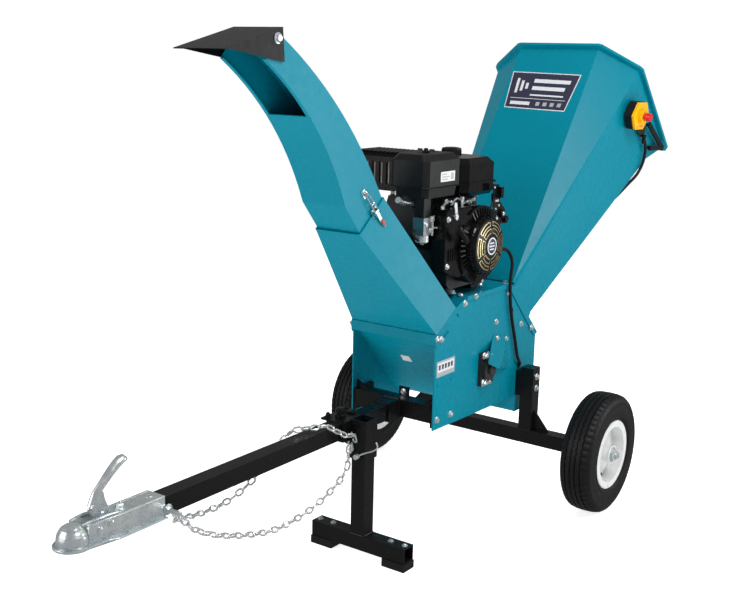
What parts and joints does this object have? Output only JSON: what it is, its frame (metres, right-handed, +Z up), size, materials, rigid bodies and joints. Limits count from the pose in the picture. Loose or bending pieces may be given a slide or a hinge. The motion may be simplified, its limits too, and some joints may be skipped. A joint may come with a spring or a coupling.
{
  "type": "wood chipper",
  "caption": "Towed petrol wood chipper: slanted infeed hopper, drum rotor under a curved discharge chute, two road wheels, drawbar with ball coupler and drop leg.",
  "frame": {"origin": "bottom centre of the whole machine, on the ground", "axes": "+Z up, -Y the towing direction (coupler), +Y the hopper side, +X the right-hand side of the machine"},
  "size_m": [1.112, 2.7716, 1.589],
  "materials": {
    "teal_paint": "smooth semi-gloss teal powder coat",
    "frame_black": "satin black powder coat",
    "engine_black": "gloss black engine paint",
    "engine_casting": "die-cast aluminium, black coated",
    "black_plastic": "textured black plastic",
    "zinc": "bright zinc plate",
    "steel": "bare ground steel",
    "cast_metal": "black cast iron",
    "rubber": "matt black rubber",
    "tyre": "ribbed black tyre rubber",
    "rim_white": "gloss white paint",
    "yellow_plastic": "glossy yellow plastic",
    "red_plastic": "glossy red plastic",
    "carb_alloy": "cast alloy",
    "exhaust_steel": "heat-dulled sheet steel"
  },
  "bodies": {
    "frame": {"axle_frame": "frame_black", "front_crossmember": "frame_black", "drawbar": "frame_black", "coupler_body": "zinc", "leg_bracket": "frame_black", "safety_chain_left": "zinc", "safety_chain_right": "zinc", "hub_nut_left": "zinc", "hub_nut_right": "zinc", "side_plate_left": "teal_paint", "side_plate_right": "teal_paint", "rotor_casing": "teal_paint", "rotor_hood": "teal_paint", "engine_bed": "teal_paint", "rear_panel": "teal_paint", "feed_floor": "teal_paint", "bed_knife": "steel", "bearing_left": "cast_metal", "bearing_right": "cast_metal", "bearing_guard": "teal_paint", "belt_guard": "teal_paint", "drive_belt": "rubber", "chute_base": "teal_paint", "hopper": "teal_paint", "estop_box": "black_plastic", "estop_cover": "yellow_plastic", "hopper_handle": "frame_black", "estop_cable": "rubber", "engine_block": "engine_casting", "fan_shroud": "engine_black", "recoil_starter": "engine_black", "fuel_tank": "engine_black", "air_cleaner": "black_plastic", "carburettor": "carb_alloy", "muffler": "exhaust_steel", "muffler_guard": "frame_black"},
    "wheel_left": {"tyre_left": "tyre", "rim_left": "rim_white"},
    "wheel_right": {"tyre_right": "tyre", "rim_right": "rim_white"},
    "rotor": {"rotor_drum": "cast_metal", "knife_1": "steel", "knife_2": "steel", "rotor_pulley": "cast_metal"},
    "crank": {"crankshaft": "steel", "flywheel": "cast_metal", "clutch_pulley": "cast_metal"},
    "leg": {"support_leg": "frame_black", "foot_pad_left": "rubber", "foot_pad_right": "rubber"},
    "leg_screw": {"leg_clamp_screw": "zinc"},
    "chute_upper": {"chute_top": "teal_paint"},
    "chute_flap": {"deflector": "frame_black"},
    "latch": {"latch_lever": "zinc"},
    "coupler_handle": {"coupler_lever": "zinc"},
    "coupler_lock": {"coupler_jaw": "steel"},
    "stop_button": {"estop_button": "red_plastic"},
    "starter": {"starter_grip": "black_plastic"},
    "filler_cap": {"fuel_cap": "black_plastic"},
    "throttle": {"throttle_lever": "zinc"}
  },
  "joints": [
    {"name": "wheel_left_spin", "type": "hinge", "parent": "frame", "child": "wheel_left", "pos_m": [-0.4835, 0.52318, 0.208], "axis": [1, 0, 0], "continuous": true},
    {"name": "wheel_right_spin", "type": "hinge", "parent": "frame", "child": "wheel_right", "pos_m": [0.4835, 0.52318, 0.208], "axis": [1, 0, 0], "continuous": true},
    {"name": "rotor_spin", "type": "hinge", "parent": "frame", "child": "rotor", "pos_m": [0, 0.27018, 0.505], "axis": [1, 0, 0], "continuous": true},
    {"name": "crank_spin", "type": "hinge", "parent": "frame", "child": "crank", "pos_m": [0, 0.20318, 0.933], "axis": [1, 0, 0], "continuous": true},
    {"name": "leg_slide", "type": "slide", "parent": "frame", "child": "leg", "axis": [0, 0, 1], "range_m": [0, 0.2]},
    {"name": "leg_screw_turn", "type": "hinge", "parent": "frame", "child": "leg_screw", "pos_m": [0.07, -0.32782, 0.336], "axis": [0, 1, 0], "range_deg": [-30, 90]},
    {"name": "chute_lift", "type": "slide", "parent": "frame", "child": "chute_upper", "axis": [0, -0.644, 0.765], "range_m": [0, 0.06]},
    {"name": "deflector_tilt", "type": "hinge", "parent": "chute_upper", "child": "chute_flap", "pos_m": [0, -0.70682, 1.556], "axis": [1, 0, 0], "range_deg": [-20, 45]},
    {"name": "latch_open", "type": "hinge", "parent": "frame", "child": "latch", "pos_m": [0.0905, -0.27573, 1.07957], "axis": [0, -0.765, -0.644], "range_deg": [0, 120]},
    {"name": "coupler_lever_lift", "type": "hinge", "parent": "frame", "child": "coupler_handle", "pos_m": [0, -1.24682, 0.44], "axis": [1, 0, 0], "range_deg": [0, 50], "stiffness_Nm_per_rad": 0.6},
    {"name": "coupler_jaw_slide", "type": "slide", "parent": "frame", "child": "coupler_lock", "axis": [0, 1, 0], "range_m": [0, 0.0121]},
    {"name": "estop_press", "type": "slide", "parent": "frame", "child": "stop_button", "axis": [-0.9891, 0.104, 0.104], "range_m": [0, 0.005], "stiffness_N_per_m": 500, "springref_m": -0.003},
    {"name": "starter_pull", "type": "slide", "parent": "frame", "child": "starter", "axis": [0.5007, -0.751, 0.4306], "range_m": [0, 0.5], "stiffness_N_per_m": 30, "springref_m": -0.2},
    {"name": "fuel_cap_turn", "type": "hinge", "parent": "frame", "child": "filler_cap", "pos_m": [0.06, 0.17318, 1.225], "axis": [0, 0, 1], "range_deg": [0, 120]},
    {"name": "throttle_move", "type": "hinge", "parent": "frame", "child": "throttle", "pos_m": [0.161, 0.05318, 1.038], "axis": [1, 0, 0], "range_deg": [-25, 25]}
  ],
  "couplings": [
    {"joint": "crank_spin", "follows": "rotor_spin", "ratio": 1.538},
    {"joint": "coupler_jaw_slide", "follows": "coupler_lever_lift", "m_per_rad": 0.01375}
  ]
}
